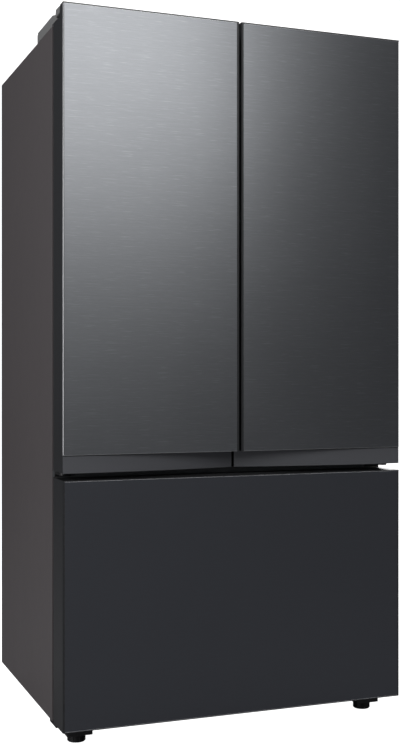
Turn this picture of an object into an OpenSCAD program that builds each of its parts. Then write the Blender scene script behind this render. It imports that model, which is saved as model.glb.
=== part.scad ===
/* [Overall] */
// Overall width
body_w = 908; // [756:1:1090]
// Overall depth, door fronts to back
body_d = 730; // [690:1:880]
// Overall height
body_h = 1778; // [1700:1:2134]

/* [Doors] */
// Thickness of the doors and of the drawer front
door_t = 95; // [85:1:114]
// Gap between a closed door and the case, filled by the gasket
gasket_t = 13; // [11:0.5:16]
// Gap between the two upper doors
door_split = 7; // [5:0.5:9]
// Gap between the upper doors and the freezer drawer
band_gap = 17; // [15:0.5:20]
// Height of the freezer drawer front
drawer_h = 596; // [570:1:715]
// Height of the grip band under the upper door panels
strip_h = 43; // [38:1:52]
// Depth of the grip band at the middle of the appliance
grip_depth = 46; // [38:1:50]
// Thickness of the steel door skins
skin_t = 1.2; // [0.8:0.1:1.5]
// Dark edge left beside a panel at the door split
panel_reveal = 2.9; // [2:0.1:4]
// How far the door liner's rim reaches past the back of the door
rim_depth = 38; // [32:1:42]
// Depth of the door bins, measured from the pocket floor
bin_depth = 136; // [110:1:138]

/* [Case] */
// Thickness of the foamed case walls
wall = 46; // [38:1:55]
// Thickness of the case sheet metal
sheet_t = 1; // [0.6:0.1:1.5]
// Thickness of the plastic liners
liner_t = 1.5; // [1:0.1:2.5]
// Height of the case and drawer above the floor
base_h = 50; // [45:1:60]
// How far the case top lies below the door tops
case_drop = 30; // [28:1:36]
// Thickness of the foamed divider between the compartments
divider_h = 74; // [66:1:89]
// Depth of the machine bay
bay_d = 242; // [225:1:260]
// Height of the machine bay roof above the floor
bay_h = 290; // [275:1:310]

/* [Hinges, legs and rollers] */
// Distance of the door hinge axis from the side of the case
hinge_side = 16.5; // [15.5:0.5:17]
// Distance of the door hinge axis behind the door front
hinge_back = 60; // [58:0.5:62]
// Radius of the door hinge pins
hinge_pin_r = 5; // [4:0.5:6]
// Radial clearance of running fits
run_gap = 0.05; // [0.02:0.01:0.1]
// Radius of the leveling feet
foot_r = 22.5; // [18:0.5:25]
// Radius of the rear rollers
roller_r = 20; // [16:1:22]

/* [Motion] */
// How far the freezer drawer pulls out
drawer_travel = 480; // [300:5:480]

/* [Hidden] */
$fn = 48;

half_w = body_w / 2;
front = -body_d / 2;
back = body_d / 2;
case_front = front + door_t + gasket_t;
case_top = body_h - case_drop;
drawer_top = base_h + drawer_h;
door_bottom = drawer_top + band_gap;
panel_bottom = door_bottom + strip_h;
divider_lo = drawer_top + band_gap / 2 - divider_h / 2;
divider_hi = divider_lo + divider_h;
cavity_x = half_w - wall;              // outside of the liners
inner_x = cavity_x - liner_t;          // inside of the liners
cavity_top = case_top - wall;
cavity_back = back - wall;
inner_back = cavity_back - liner_t;
bay_front = back - bay_d;
step_z = bay_h + wall - 4;             // freezer floor over the machine bay
step_y = bay_front - wall + 4;         // freezer back wall in front of the machine bay
freezer_floor = base_h + wall;
axis_x = half_w - hinge_side;
axis_y = front + hinge_back;
cap_t = 3;                             // plastic cap above the door panels
cap_wall = 30;                         // depth of the raised wall on top of a door
step_drop = 27;                        // the door top behind that wall lies this much lower
step_top = body_h - step_drop;
pan_d = 8;                             // depth of the folded edge of a door skin
edge_r = 3;                            // radius of a door skin's vertical edges
frame_t = 3;                           // wall of the door frames
boss = 18;                             // hinge boss length inward of the axis
pin_reach = 24;                        // depth of a hinge bore in the door
gasket_w = 12;                         // width of a door gasket
gasket_in = 19;                        // gasket's distance from the door's edge
gasket_air = 0.5;                      // air between a gasket and the case
rim_out = half_w - wall - 8;           // outer side of the door liner's rim
rim_in = 50;                           // inner side of the rim, measured from the middle
rim_w = 24;                            // width of the rim
rim_lo = divider_hi + 20;
rim_hi = cavity_top - 12;
pocket_t = 62;                         // door pocket floor, behind the door front
door_edge = door_split / 2;
shelf_front = axis_y + 172;
shelf_back = inner_back - 8;
mid_gap = 10;                          // half the gap between left and right crispers
swing_lip = door_t + gasket_t - hinge_back;  // an open door reaches this far in from its hinge axis
crisper_x = min(inner_x - 12, axis_x - swing_lip - 4);
crisper_lo = divider_hi + liner_t + 4;
crisper_h = 178;
cover_z = crisper_lo + crisper_h + 6;  // glass over the crispers
tower_x = 62;
rail_lo = step_z + 6;
rail_h = 34;
rail_d = 8;                            // depth of one rail stage
evap_cover_y = cavity_back - 66;
rail_len = drawer_travel + 6;
rail_front = evap_cover_y - 10 - rail_len;  // the rails end just before the evaporator cover
tray_lo = rail_lo + rail_h + 22;
tray_h = 105;
ledge_z = tray_lo - 2;
basket_x = inner_x - 3 * rail_d - 10;
basket_y = step_y - 22;

module box(lo, hi) {
    translate(lo)
        cube(hi - lo);
}

module both() {
    children();
    mirror([1, 0, 0])
        children();
}

module rod_x(p, r, l) {
    translate(p)
        rotate([0, 90, 0])
            cylinder(r = r, h = l);
}

module rod_y(p, r, l) {
    translate(p)
        rotate([-90, 0, 0])
            cylinder(r = r, h = l);
}

module rod_z(p, r, l) {
    translate(p)
        cylinder(r = r, h = l);
}

// rectangle with round corners
module round_rect(lo, hi, r) {
    translate([lo[0] + r, lo[1]])
        square([hi[0] - lo[0] - 2 * r, hi[1] - lo[1]]);
    translate([lo[0], lo[1] + r])
        square([hi[0] - lo[0], hi[1] - lo[1] - 2 * r]);
    for (x = [lo[0] + r, hi[0] - r], y = [lo[1] + r, hi[1] - r])
        translate([x, y])
            circle(r = r);
}

module round_box(lo, hi, r) {
    translate([0, 0, lo[2]])
        linear_extrude(hi[2] - lo[2])
            round_rect(lo, hi, r);
}

// open-topped container with walls and floor of one thickness
module tub(lo, hi, t) {
    difference() {
        round_box(lo, hi, t);
        box([lo[0] + t, lo[1] + t, lo[2] + t], [hi[0] - t, hi[1] - t, hi[2] + 1]);
    }
}

// upright outline in the YZ plane, drawn from points [y, z], between two x values
module side_profile(x0, x1, points) {
    translate([x0, 0, 0])
        rotate([90, 0, 90])
            linear_extrude(x1 - x0)
                polygon(points);
}

// ---- case ----
module fridge_space(g) {
    box([-cavity_x - g, case_front - 1, divider_hi - g], [cavity_x + g, cavity_back + g, cavity_top + g]);
}

// the freezer steps up over the machine bay
module freezer_space(g) {
    side_profile(-cavity_x - g, cavity_x + g, [
        [case_front - 1, freezer_floor - g], [step_y + g, freezer_floor - g],
        [step_y + g, step_z - g], [cavity_back + g, step_z - g],
        [cavity_back + g, divider_lo + g], [case_front - 1, divider_lo + g]]);
}

module rail_space() {
    box([-half_w + 12, case_front - 1, divider_lo + 3], [half_w - 12, case_front + 22, divider_hi - 3]);
}

module bay_space() {
    box([-half_w, bay_front, base_h - 1], [half_w, back + 1, bay_h]);
}

module outer_case() {
    color("#4b4648")
        difference() {
            box([-half_w, case_front, base_h], [half_w, back - sheet_t, case_top]);
            box([-half_w + sheet_t, case_front + sheet_t, base_h - 1], [half_w - sheet_t, back, case_top - sheet_t]);
            fridge_space(0);
            freezer_space(0);
            rail_space();
            both()
                rod_z([axis_x - 20, case_front + 60, case_top - 9], 3, 10);
        }
}

module back_panel() {
    color("#8d8f91")
        difference() {
            box([-half_w, back - sheet_t, bay_h], [half_w, back, case_top]);
            for (x = [-1, 1])
                box([x * 300 - 9, back - 3, bay_h + 400], [x * 300 + 9, back - 0.4, case_top - 60]);
        }
}

module base_frame() {
    color("#2b2c2e") {
        difference() {
            box([-half_w + sheet_t, case_front + sheet_t, base_h], [half_w - sheet_t, back - sheet_t, base_h + 14]);
            box([-half_w + 20, case_front + 22, base_h + 2], [half_w - 20, back + 1, base_h + 15]);
        }
        both() {
            box([-half_w, case_front - 40, base_h - 6], [-half_w + 16, case_front + 24, base_h]);
            roller_fork();
        }
    }
}

roller_x = half_w - 70;
roller_y = back - 55;
roller_w = 18;

module roller_fork() {
    for (side = [-1, 1])
        difference() {
            translate([-roller_x + side * (roller_w / 2 + 3) - 1.5, 0, 0])
                box([0, roller_y - 16, roller_r - 9], [3, roller_y + 16, base_h]);
            rod_x([-roller_x - 20, roller_y, roller_r], 4 + run_gap, 40);
        }
}

module rear_roller() {
    rod_x([-roller_x - roller_w / 2 - 5.5, roller_y, roller_r], 4, roller_w + 11);
    difference() {
        rod_x([-roller_x - roller_w / 2, roller_y, roller_r], roller_r, roller_w);
        for (side = [-1, 1])
            rod_x([-roller_x + side * (roller_w / 2 + 4) - 6, roller_y, roller_r], roller_r - 6, 12);
    }
}

module left_rear_roller() {
    color("#1d1e20")
        rear_roller();
}

module right_rear_roller() {
    color("#1d1e20")
        mirror([1, 0, 0])
            rear_roller();
}

module case_insulation() {
    color("#e8dfb6")
        difference() {
            box([-half_w + sheet_t, case_front + sheet_t, base_h + 14], [half_w - sheet_t, back - sheet_t, case_top - sheet_t]);
            fridge_space(0);
            freezer_space(0);
            bay_space();
            rail_space();
        }
}

module fridge_liner() {
    color("#eef0f1") {
        difference() {
            fridge_space(0);
            fridge_space(-liner_t);
            box([-half_w, case_front - 2, 0], [half_w, case_front, body_h]);
        }
        // ribs that carry the crispers
        for (side = [-1, 1])
            box([side * (inner_x - 4) - 4, shelf_front + 6, cover_z - 8], [side * (inner_x - 4) + 4, shelf_back, cover_z - 2]);
    }
}

module freezer_liner() {
    color("#e6e8ea") {
        difference() {
            freezer_space(0);
            freezer_space(-liner_t);
            box([-half_w, case_front - 2, 0], [half_w, case_front, body_h]);
        }
        // ledges for the upper tray
        for (side = [-1, 1])
            box([side * (inner_x - 5) - 5, case_front + 30, ledge_z - 5], [side * (inner_x - 5) + 5, cavity_back - 66, ledge_z]);
    }
}

module centre_rail() {
    color("#55585a")
        difference() {
            union() {
                box([-half_w + 12, case_front, divider_lo + 3], [half_w - 12, case_front + 22, divider_hi - 3]);
                both()
                    box([-half_w + 2, case_front - 3, door_bottom - band_gap + 1], [-half_w + 50, case_front, door_bottom - 1]);
            }
            box([-half_w + 13, case_front + 1, divider_lo + 4], [half_w - 13, case_front + 23, divider_hi - 4]);
        }
}

// ---- hinges and their covers ----
module centre_hinges() {
    leaf_z = door_bottom - 8;
    color("#1b1b1d")
        both() {
            box([-half_w + 6, axis_y, leaf_z], [-half_w + 46, case_front - 3, leaf_z + 5]);
            rod_z([-axis_x, axis_y, leaf_z], hinge_side - 5, 5);
            box([-half_w + 6, case_front - 6, leaf_z - 7], [-half_w + 46, case_front - 3, leaf_z + 5]);
            rod_z([-axis_x, axis_y, leaf_z + 5], hinge_pin_r + 4, 2.6);
            rod_z([-axis_x, axis_y, leaf_z], hinge_pin_r, 8 + pin_reach - 2);
        }
}

module top_hinges() {
    plate_z = step_top + 1;
    color("#9a9da0")
        both() {
            box([-axis_x - 8, axis_y, plate_z], [-axis_x + 8, case_front + 4, plate_z + 4]);
            rod_z([-axis_x, axis_y, plate_z], 8, 4);
            rod_z([-axis_x, axis_y, plate_z - pin_reach], hinge_pin_r, pin_reach);
            difference() {
                box([-axis_x - 8, case_front + 1, case_top], [-axis_x + 46, case_front + 90, plate_z + 4]);
                for (y = [25, 65])
                    rod_z([-axis_x + 34, case_front + y, case_top - 1], 4, 20);
            }
        }
}

cover_w = 100;
nose_w = 27.5;
cover_back = case_front + 158;
cover_dip = 4;                         // the cover's top lies this much under the door tops

module hinge_covers() {
    top = body_h - cover_dip;
    color("#757575")
        both()
            difference() {
                union() {
                    side_profile(-half_w, -half_w + cover_w, [
                        [case_front, case_top], [cover_back, case_top], [cover_back, top - 6],
                        [cover_back - 6, top], [case_front, top]]);
                    side_profile(-half_w, -half_w + nose_w, [
                        [front + 38, body_h], [front + 38, body_h - 17], [front + 70, body_h - 18],
                        [front + 54, step_top + 1], [case_front, step_top + 1], [case_front, top],
                        [case_front - 4, top], [front + 73, body_h - 11], [front + 70, body_h]]);
                }
                // room for the hinge under the cover
                box([-axis_x - 10, axis_y - 10, step_top - 1], [-axis_x + 9, case_front + 1, step_top + 6.5]);
                box([-axis_x - 10, case_front - 1, case_top - 1], [-half_w + cover_w - 3, cover_back - 10, step_top + 12]);
                rod_z([-half_w + cover_w - 20, cover_back - 22, case_top - 1], 2.5, 40);
                rod_z([-half_w + cover_w - 20, cover_back - 22, top - 3], 5, 10);
            }
}

// ---- front legs ----
leg_x = half_w - 58.5;
leg_y = front + 98;
stud_r = 6;

module leg_brackets() {
    z0 = 20;
    color("#161618")
        both()
            difference() {
                union() {
                    box([-leg_x - 32, leg_y - 34, z0], [-leg_x + 32, leg_y + 60, z0 + 3]);
                    box([-leg_x - 32, leg_y - 34, z0], [-leg_x + 32, leg_y - 31, base_h - 3]);
                    for (x = [-32, 29])
                        box([-leg_x + x, leg_y - 34, z0], [-leg_x + x + 3, leg_y + 60, base_h]);
                    rod_z([-leg_x, leg_y, z0], 12, 16);
                    box([-leg_x - 32, case_front + 3, base_h - 3], [-leg_x + 32, leg_y + 60, base_h]);
                }
                rod_z([-leg_x, leg_y, z0 - 1], stud_r + run_gap, 40);
                box([-leg_x - 40, leg_y - 40, base_h - 3], [-leg_x + 40, case_front + 2, base_h + 1]);
            }
}

module leveling_leg() {
    rod_z([-leg_x, leg_y, 0], foot_r - 2, 2);
    difference() {
        rod_z([-leg_x, leg_y, 2], foot_r, 14);
        for (a = [0:30:330])
            rotate_about(a)
                rod_z([-leg_x + foot_r + 1, leg_y, 4], 2.4, 20);
    }
    rod_z([-leg_x, leg_y, 15], stud_r, 29);
}

module rotate_about(a) {
    translate([-leg_x, leg_y, 0])
        rotate([0, 0, a])
            translate([leg_x, -leg_y, 0])
                children();
}

module left_leveling_leg() {
    color("#111113")
        leveling_leg();
}

module right_leveling_leg() {
    color("#111113")
        mirror([1, 0, 0])
            leveling_leg();
}

// ---- machine bay ----
module machine_cover() {
    color("#6f7173")
        difference() {
            box([-half_w + 4, back - sheet_t, base_h + 4], [half_w - 4, back, bay_h - 1]);
            for (x = [-150:14:200], z = [0:1])
                box([x, back - 5, base_h + 40 + z * 90], [x + 7, back + 1, base_h + 110 + z * 90]);
            rod_y([-inlet_x, back - 5, inlet_z], inlet_r + 0.5, 10);
            rod_y([valve_x, back - 5, valve_z], 9, 10);
            for (x = [-half_w + 14, 0, half_w - 14])
                rod_y([x, back - 5, bay_h - 9], 2.2, 10);
        }
}

inlet_x = half_w - 120;
inlet_z = base_h + 55;
inlet_r = 12;
valve_x = half_w - 90;
valve_z = base_h + 80;

module power_inlet() {
    color("#17181a")
        difference() {
            union() {
                rod_y([-inlet_x, back - 30, inlet_z], inlet_r, 30);
                box([-inlet_x - 16, back - 40, inlet_z - 16], [-inlet_x + 16, back - 6, inlet_z + 16]);
            }
            rod_y([-inlet_x, back - 26, inlet_z], 5, 40);
        }
}

module water_valve() {
    color("#d9dbdd") {
        box([valve_x - 22, back - 60, valve_z - 18], [valve_x + 22, back - 22, valve_z + 30]);
        rod_y([valve_x, back - 24, valve_z], 7, 8);
        rod_y([valve_x, back - 20, valve_z], 3.175, 19);
        rod_z([valve_x, back - 42, base_h + 2], 5, valve_z - base_h - 10);
    }
}

comp_x = -half_w + 190;
comp_y = back - 120;

module compressor() {
    color("#1a1b1c")
        translate([comp_x, comp_y, base_h + 22]) {
            rotate_extrude() {
                square([78, 150]);
                translate([0, 150])
                    intersection() {
                        circle(r = 78);
                        square([78, 34]);
                    }
            }
            for (x = [-70, 70], y = [-62, 62])
                translate([x, y, -20])
                    cylinder(r = 10, h = 20);
            box([-92, -78, -1], [92, 78, 3]);
            box([-118, -25, 30], [-70, 25, 90]);
        }
}

cond_x = 20;
cond_w = 190;
cond_y = back - 210;

module condenser() {
    color("#30343a")
        translate([cond_x, cond_y, base_h + 24]) {
            for (x = [0:9.5:cond_w])
                box([x, 0, 6], [x + 0.8, 150, 150]);
            for (y = [20, 55, 90, 125], z = [20, 55, 90, 125])
                rod_x([-10, y, z], 4, cond_w + 20);
            for (x = [-10, cond_w + 6])
                box([x, 0, -2], [x + 3, 150, 152]);
        }
}

fan_x = -38;
fan_y = cond_y + 75;
fan_z = base_h + 98;

module blades(r, n, w) {
    for (i = [0:n - 1])
        rotate([0, 0, i * 360 / n])
            rotate([28, 0, 0])
                box([6, -w / 2, -1], [r, w / 2, 1]);
}

module condenser_fan() {
    color("#2a2c2f")
        translate([fan_x, fan_y, fan_z])
            rotate([0, 90, 0]) {
                cylinder(r = 18, h = 24, center = true);
                blades(66, 5, 34);
            }
}

module drain_pan() {
    color("#3a3c3e")
        tub([cond_x - 14, cond_y - 6, base_h + 2], [cond_x + cond_w + 16, cond_y + 160, base_h + 20], 2);
}

// ---- evaporator and air ----
evap_y = cavity_back - 56;

module evaporator() {
    color("#c9ccd0") {
        for (x = [-280:14:280])
            box([x, evap_y, step_z + 22], [x + 1, evap_y + 40, step_z + 150]);
        for (y = [10, 30], z = [40, 70, 100, 130])
            rod_x([-292, evap_y + y, step_z + z], 4, 585);
    }
}

evap_fan_z = step_z + 215;
evap_fan_r = 44;

module evaporator_cover() {
    color("#dfe2e4")
        difference() {
            box([-inner_x + 1, evap_cover_y, step_z + 4], [inner_x - 1, evap_cover_y + 4, divider_lo - liner_t - 3]);
            rod_y([0, evap_cover_y - 1, evap_fan_z], evap_fan_r, 8);
            for (side = [-1, 1], z = [0:5])
                box([side * 230 - 90, evap_cover_y - 1, evap_fan_z - 45 + z * 13], [side * 230 + 90, evap_cover_y + 6, evap_fan_z - 39 + z * 13]);
        }
}

module evaporator_fan() {
    color("#b9bcc0")
        translate([0, evap_cover_y + 26, evap_fan_z])
            rotate([90, 0, 0]) {
                cylinder(r = 14, h = 20, center = true);
                blades(40, 5, 18);
            }
}

// ---- fridge compartment ----
module air_tower() {
    color("#f2f4f5")
        difference() {
            box([-tower_x, inner_back - 16, cover_z + 20], [tower_x, inner_back - 0.5, cavity_top - 12]);
            for (z = [cover_z + 90:120:cavity_top - 60], x = [-40:16:40])
                box([x - 5, inner_back - 18, z], [x + 5, inner_back - 8, z + 18]);
        }
}

module lamp_covers() {
    color("#fbfdff") {
        box([-150, shelf_front + 60, cavity_top - liner_t - 8], [150, shelf_front + 120, cavity_top - liner_t - 0.3]);
        box([-90, case_front + 60, divider_lo - liner_t - 8], [90, case_front + 85, divider_lo - liner_t - 0.3]);
    }
}

module control_panel() {
    color("#d5d9dc") {
        difference() {
            box([-170, case_front + 70, cavity_top - liner_t - 14], [170, case_front + 130, cavity_top - liner_t - 0.3]);
            box([-60, case_front + 69, cavity_top - liner_t - 12], [60, case_front + 71.5, cavity_top - liner_t - 3]);
        }
        for (x = [-140, -105, 105, 140])
            rod_y([x, case_front + 68, cavity_top - liner_t - 7.5], 4, 3);
    }
}

frame_w = 16;
glass_t = 4;
shelf_t = 16;
side_air = 4;
left_shelves = [cover_z + 235, cover_z + 500];
right_shelves = [cover_z + 290, cover_z + 540];

// outlines of the shelves: x low, x high, z of the underside
function shelf_list() = concat(
    [for (z = left_shelves) [-inner_x + side_air, -mid_gap / 2, z]],
    [for (z = right_shelves) [mid_gap / 2, inner_x - side_air, z]],
    [[-inner_x + side_air, inner_x - side_air, cover_z]]);

module shelf_frames() {
    color("#e9ecee")
        for (s = shelf_list())
            difference() {
                union() {
                    box([s[0], shelf_front, s[2]], [s[1], shelf_back - 12, s[2] + shelf_t]);
                    if (s[2] > cover_z)
                        for (x = [inner_x - side_air - 14, tower_x + 8], side = [sign(s[0] + s[1])])
                            side_profile(side * x - 1, side * x + 1, [
                                [shelf_back, s[2] + 14], [shelf_back, s[2] - 34], [shelf_back - 12, s[2] - 34],
                                [shelf_front + 120, s[2]], [shelf_front + 120, s[2] + 14]]);
                }
                box([s[0] + frame_w, shelf_front + frame_w, s[2] - 40], [s[1] - frame_w, shelf_back - 12 - frame_w, s[2] + shelf_t + 1]);
                box([s[0] + frame_w - 6, shelf_front + frame_w - 6, s[2] + 8], [s[1] - frame_w + 6, shelf_back - 6 - frame_w, s[2] + 8 + glass_t + 0.4]);
            }
}

module shelf_glass() {
    color([0.75, 0.88, 0.88, 0.4])
        for (s = shelf_list())
            box([s[0] + frame_w - 5.5, shelf_front + frame_w - 5.5, s[2] + 8.1], [s[1] - frame_w + 5.5, shelf_back - 6.5 - frame_w, s[2] + 8.2 + glass_t]);
}

module crisper(x0, x1) {
    tub([x0, shelf_front + 14, crisper_lo], [x1, shelf_back - 20, crisper_lo + crisper_h - 6], 2.5);
    // front with a grip lip
    box([x0, shelf_front, crisper_lo], [x1, shelf_front + 13.9, crisper_lo + crisper_h - 30]);
    side_profile(x0, x1, [
        [shelf_front, crisper_lo + crisper_h - 30], [shelf_front + 15, crisper_lo + crisper_h - 30],
        [shelf_front + 15, crisper_lo + crisper_h], [shelf_front - 4, crisper_lo + crisper_h],
        [shelf_front - 4, crisper_lo + crisper_h - 8], [shelf_front + 10, crisper_lo + crisper_h - 10]]);
    box([x0 + 20, shelf_front + 13, crisper_lo], [x1 - 20, shelf_front + 16, crisper_lo + 30]);
}

module left_crisper() {
    color([0.86, 0.93, 0.95, 0.5])
        crisper(-crisper_x, -mid_gap);
}

module right_crisper() {
    color([0.86, 0.93, 0.95, 0.5])
        crisper(mid_gap, crisper_x);
}

snack_h = 88;
snack_z = right_shelves[0] - snack_h - 8;

module snack_drawer() {
    x0 = mid_gap / 2 + 34;
    x1 = inner_x - side_air - 34;
    color([0.88, 0.94, 0.96, 0.5]) {
        tub([x0, shelf_front + 8, snack_z], [x1, shelf_back - 60, snack_z + snack_h - 2], 2.5);
        box([x0 - 4, shelf_front, snack_z], [x1 + 4, shelf_front + 9, snack_z + snack_h]);
        box([x0 - 4, shelf_front - 8, snack_z + snack_h - 8], [x1 + 4, shelf_front + 4, snack_z + snack_h]);
    }
}

// ---- freezer compartment ----
maker_x = -inner_x + 78;
maker_z = divider_lo - liner_t - 54;
maker_y = case_front + 110;
maker_len = 250;
maker_swing = 46;

module ice_maker() {
    color("#eceff1") {
        box([maker_x - maker_swing - 6, maker_y, maker_z + maker_swing + 2], [maker_x + maker_swing + 6, maker_y + maker_len, maker_z + maker_swing + 5]);
        for (side = [-1, 1])
            box([maker_x + side * (maker_swing + 4) - 2, maker_y, maker_z - 14], [maker_x + side * (maker_swing + 4) + 2, maker_y + maker_len, maker_z + maker_swing + 2.5]);
        difference() {
            box([maker_x - maker_swing - 6, maker_y + maker_len - 60, maker_z - 30], [maker_x + maker_swing + 6, maker_y + maker_len, maker_z + maker_swing + 4]);
            rod_y([maker_x, maker_y + maker_len - 61, maker_z], 6 + run_gap, 30);
        }
        difference() {
            box([maker_x - maker_swing - 6, maker_y, maker_z - 14], [maker_x + maker_swing + 6, maker_y + 6, maker_z + maker_swing + 4]);
            rod_y([maker_x, maker_y - 1, maker_z], 6 + run_gap, 10);
        }
    }
}

module ice_tray() {
    y0 = maker_y + 9;
    y1 = maker_y + maker_len - 64;
    color("#f6f8f9") {
        difference() {
            box([maker_x - 41, y0, maker_z - 13], [maker_x + 41, y1, maker_z + 13]);
            for (i = [0:1], j = [0:5])
                box([maker_x - 38 + i * 39, y0 + 4 + j * 28.5, maker_z - 10], [maker_x - 1 + i * 39, y0 + 29 + j * 28.5, maker_z + 14]);
        }
        rod_y([maker_x, maker_y + 1, maker_z], 6, 9);
        rod_y([maker_x, y1 - 1, maker_z], 6, 24);
    }
}

module rail_c(x, w, open_side) {
    difference() {
        box([x, rail_front, rail_lo], [x + w, rail_front + rail_len, rail_lo + rail_h]);
        box([open_side < 0 ? x - 1 : x + 2, rail_front - 1, rail_lo + 3], [open_side < 0 ? x + w - 2 : x + w + 1, rail_front + rail_len + 1, rail_lo + rail_h - 3]);
    }
}

module fixed_rails() {
    color("#b7babd")
        both()
            rail_c(-inner_x + 0.5, rail_d - 1, 1);
}

module middle_rails() {
    color("#a9adb1")
        both()
            rail_c(-inner_x + rail_d, rail_d - 1, 1);
}

// the drawer's own rail stage, its arms and the hoop that holds the basket
module basket_frame() {
    arm_x = -inner_x + 2 * rail_d;
    y0 = case_front - gasket_t + 1;
    color("#9b9fa3") {
        both() {
            rail_c(arm_x, rail_d - 1, -1);
            box([arm_x + rail_d - 3, y0, rail_lo - 20], [arm_x + rail_d - 1, rail_front + 70, rail_lo + rail_h]);
            box([arm_x + rail_d - 3, y0, rail_lo - 70], [arm_x + rail_d + 22, y0 + 3, rail_lo + rail_h]);
            box([arm_x + rail_d - 3, rail_front, rail_lo - 20], [-basket_x + 3, basket_y + 15, rail_lo - 15.2]);
        }
        box([arm_x + rail_d, basket_y + 7, rail_lo - 20], [-arm_x - rail_d, basket_y + 15, rail_lo - 15.2]);
    }
}

module freezer_basket() {
    x = basket_x;
    y0 = case_front + 20;
    y1 = basket_y;
    z0 = freezer_floor + 10;
    z1 = rail_lo - 12;
    color("#dfe3e6") {
        tub([-x + 6, y0, z0], [x - 6, y1, z1], 3);
        // rim that hangs on the hoop
        difference() {
            round_box([-x - 2, y0 - 4, z1 - 3], [x + 2, y1 + 6, z1], 6);
            box([-x + 8, y0 + 2, z1 - 4], [x - 8, y1 - 2, z1 + 1]);
        }
        box([-1.5, y0 + 2, z0 + 2], [1.5, y1 - 2, z1 - 40]);
    }
}

module freezer_tray() {
    x = inner_x - 18;
    y0 = case_front + 48;
    y1 = evap_cover_y - 12;
    color("#e8ecee") {
        tub([-x, y0, tray_lo], [x, y1, tray_lo + tray_h], 3);
        for (side = [-1, 1])
            box([side * (x + 6.5) - 7, y0 + 20, ledge_z + 0.4], [side * (x + 6.5) + 7, y1 - 20, ledge_z + 4]);
        box([-x + 132, y0 + 2, tray_lo + 2], [-x + 135, y1 - 2, tray_lo + tray_h - 8]);
        // pull lip along the front
        side_profile(-x + 20, x - 20, [
            [y0 - 10, tray_lo + tray_h - 4], [y0 + 1, tray_lo + tray_h - 12], [y0 + 1, tray_lo + tray_h], [y0 - 10, tray_lo + tray_h]]);
    }
}

// ---- freezer drawer front ----
panel_in = 2;                          // the drawer panel is this much narrower at each side
channel_t0 = 16;
channel_t1 = 52;
channel_h = 30;

module freezer_core_space() {
    difference() {
        union() {
            box([-half_w + frame_t, front + pan_d, base_h + frame_t], [half_w - frame_t, front + door_t - 2, drawer_top - frame_t]);
            box([-half_w + 7, front + skin_t, base_h + frame_t], [half_w - 7, front + pan_d + 1, drawer_top - frame_t]);
            box([-rim_out + 2, front + door_t - 3, freezer_floor + 22], [rim_out - 2, front + door_t + 14, rail_lo - 84]);
        }
        box([-half_w + 26, front + channel_t0 - frame_t, drawer_top - channel_h - frame_t], [half_w - 26, front + channel_t1 + frame_t, drawer_top]);
    }
}

module freezer_skin(grow) {
    translate([0, 0, base_h + 2])
        linear_extrude(drawer_h - 4)
            round_rect([-half_w + panel_in + grow, front + grow], [half_w - panel_in - grow, front + pan_d + 20], edge_r);
}

module freezer_panel() {
    color("#36383b")
        difference() {
            freezer_skin(0);
            freezer_skin(skin_t);
            box([-half_w, front + pan_d, 0], [half_w, front + 60, body_h]);
        }
}

module freezer_frame() {
    color("#252628")
        difference() {
            box([-half_w, front, base_h], [half_w, front + door_t - 2, drawer_top]);
            intersection() {
                freezer_skin(-0.01);
                box([-half_w - 1, front - 1, 0], [half_w + 1, front + pan_d, body_h]);
            }
            difference() {
                box([-half_w + frame_t, front + 1, base_h + frame_t], [half_w - frame_t, front + door_t, drawer_top - frame_t]);
                box([-half_w + 26, front + channel_t0 - frame_t, drawer_top - channel_h - frame_t], [half_w - 26, front + channel_t1 + frame_t, drawer_top]);
            }
            box([-half_w + 29, front + channel_t0, drawer_top - channel_h], [half_w - 29, front + channel_t1, drawer_top + 1]);
            for (side = [-1, 1])
                box([side * half_w - 1, front - 1, base_h - 1], [side * half_w + 1, front + 3, drawer_top + 1]);
        }
}

module freezer_core() {
    color("#e8dfb6")
        freezer_core_space();
}

module freezer_door_liner() {
    color("#e6e8ea")
        difference() {
            union() {
                box([-half_w + 6, front + door_t - 2, base_h + 6], [half_w - 6, front + door_t, drawer_top - 6]);
                box([-rim_out, front + door_t - 2, freezer_floor + 20], [rim_out, front + door_t + 16, rail_lo - 82]);
            }
            freezer_core_space();
        }
}

module gasket_ring(x0, x1, z0, z1) {
    y0 = front + door_t;
    y1 = case_front - gasket_air;
    difference() {
        box([x0, y0, z0], [x1, y1, z1]);
        box([x0 + gasket_w, y0 - 1, z0 + gasket_w], [x1 - gasket_w, y1 + 1, z1 - gasket_w]);
        // groove between the magnet strip and the bellows
        difference() {
            box([x0 - 1, y0 + 4, z0 - 1], [x1 + 1, y0 + 7, z1 + 1]);
            box([x0 + 3, y0, z0 + 3], [x1 - 3, y1, z1 - 3]);
        }
    }
}

module freezer_gasket() {
    color("#3a3b3d")
        gasket_ring(-half_w + gasket_in, half_w - gasket_in, base_h + 16, drawer_top - 9);
}

// ---- upper doors, drawn as the left one ----
door_x0 = -half_w;
door_x1 = -door_edge;
grip_len = half_w - 26;
grip_r = (grip_len * grip_len + grip_depth * grip_depth) / (2 * grip_depth);

module boss_top() {
    box([-half_w, axis_y - 22, step_top - pin_reach - 8], [-axis_x + boss, axis_y + 20, step_top]);
}

module boss_bottom() {
    box([-half_w, axis_y - 22, door_bottom], [-axis_x + boss, axis_y + 20, door_bottom + pin_reach + 8]);
}

// everything in front of the curved grip band
module grip_space(grow) {
    difference() {
        box([door_x0 - 1, front - 1, door_bottom - 1 - grow], [door_x1 + 1, front + 70, panel_bottom + grow]);
        translate([door_x0 + 14, front + 2.5 + grip_r + grow, 0])
            cylinder(r = grip_r, h = body_h, $fn = 720);
        box([door_x0 - 2, front + 2.5 + grow, 0], [door_x0 + 14, front + 80, body_h]);
    }
}

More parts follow.
